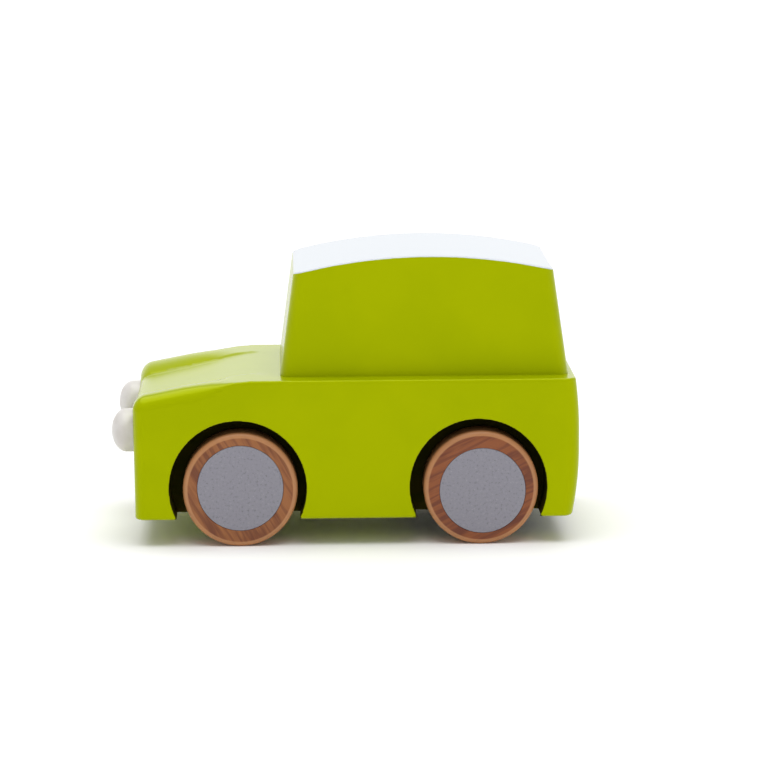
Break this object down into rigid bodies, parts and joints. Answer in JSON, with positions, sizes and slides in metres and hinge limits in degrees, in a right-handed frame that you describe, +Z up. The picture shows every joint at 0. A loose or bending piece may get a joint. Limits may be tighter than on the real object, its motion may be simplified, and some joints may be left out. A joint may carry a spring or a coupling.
{
  "type": "pull back car",
  "caption": "Painted wooden pull back car with a stepped cabin, a sunken bonnet channel, domed headlight pegs, beech wheels and a spring motor under the rear.",
  "frame": {"origin": "on the ground under the middle of the bounding box, between the two headlights and the rear face", "axes": "+X forward, towards the headlights; +Y to the car's left; +Z up"},
  "size_m": [0.115, 0.06, 0.0708],
  "materials": {
    "lime_paint": "satin paint",
    "white_paint": "satin paint",
    "beech": "clear lacquer",
    "disc": "speckled matte",
    "steel": "zinc plated",
    "spring_steel": "blued",
    "case_plastic": "moulded",
    "nylon": "moulded"
  },
  "bodies": {
    "chassis": {"lower_body": "lime_paint", "cabin_block": "lime_paint", "cabin_dowels": "beech", "headlight_left": "white_paint", "headlight_right": "white_paint", "front_axle_bushes": "nylon", "motor_case_left": "case_plastic", "motor_case_right": "case_plastic", "motor_case_screws": "steel", "motor_mount_screws": "steel"},
    "front_wheels": {"front_axle": "steel", "front_wheel_left": "beech", "front_wheel_right": "beech", "front_disc_left": "disc", "front_disc_right": "disc"},
    "rear_wheels": {"rear_axle": "steel", "rear_wheel_left": "beech", "rear_wheel_right": "beech", "rear_disc_left": "disc", "rear_disc_right": "disc", "rear_axle_washers": "nylon", "axle_pinion": "nylon"},
    "drive_shaft": {"drive_shaft": "steel"},
    "drive_gear": {"drive_gear": "nylon"},
    "winding_shaft": {"winding_shaft": "steel"},
    "winding_idler": {"winding_idler": "nylon"},
    "spring_gear": {"spring_gear": "nylon", "mainspring": "spring_steel"}
  },
  "joints": [
    {"name": "front_axle_spin", "type": "hinge", "parent": "chassis", "child": "front_wheels", "pos_m": [0.0259, 0, 0.0141], "axis": [0, 1, 0], "continuous": true},
    {"name": "rear_axle_spin", "type": "hinge", "parent": "chassis", "child": "rear_wheels", "pos_m": [-0.0332, 0, 0.0141], "axis": [0, 1, 0], "continuous": true},
    {"name": "drive_shaft_shift", "type": "slide", "parent": "chassis", "child": "drive_shaft", "axis": [-0.9899, 0, 0.142], "range_m": [0, 0.0011]},
    {"name": "drive_gear_spin", "type": "hinge", "parent": "drive_shaft", "child": "drive_gear", "pos_m": [-0.04119, 0, 0.02091], "axis": [0, 1, 0], "continuous": true},
    {"name": "winding_shaft_shift", "type": "slide", "parent": "chassis", "child": "winding_shaft", "axis": [-0.7167, 0, 0.6974], "range_m": [0, 0.0011]},
    {"name": "winding_idler_spin", "type": "hinge", "parent": "winding_shaft", "child": "winding_idler", "pos_m": [-0.02603, 0, 0.01208], "axis": [0, 1, 0], "continuous": true},
    {"name": "spring_gear_spin", "type": "hinge", "parent": "chassis", "child": "spring_gear", "pos_m": [-0.02978, 0, 0.02602], "axis": [0, 1, 0], "continuous": true}
  ],
  "couplings": [
    {"joint": "drive_gear_spin", "follows": "rear_axle_spin", "ratio": -0.4},
    {"joint": "spring_gear_spin", "follows": "rear_axle_spin", "ratio": 0.1}
  ]
}
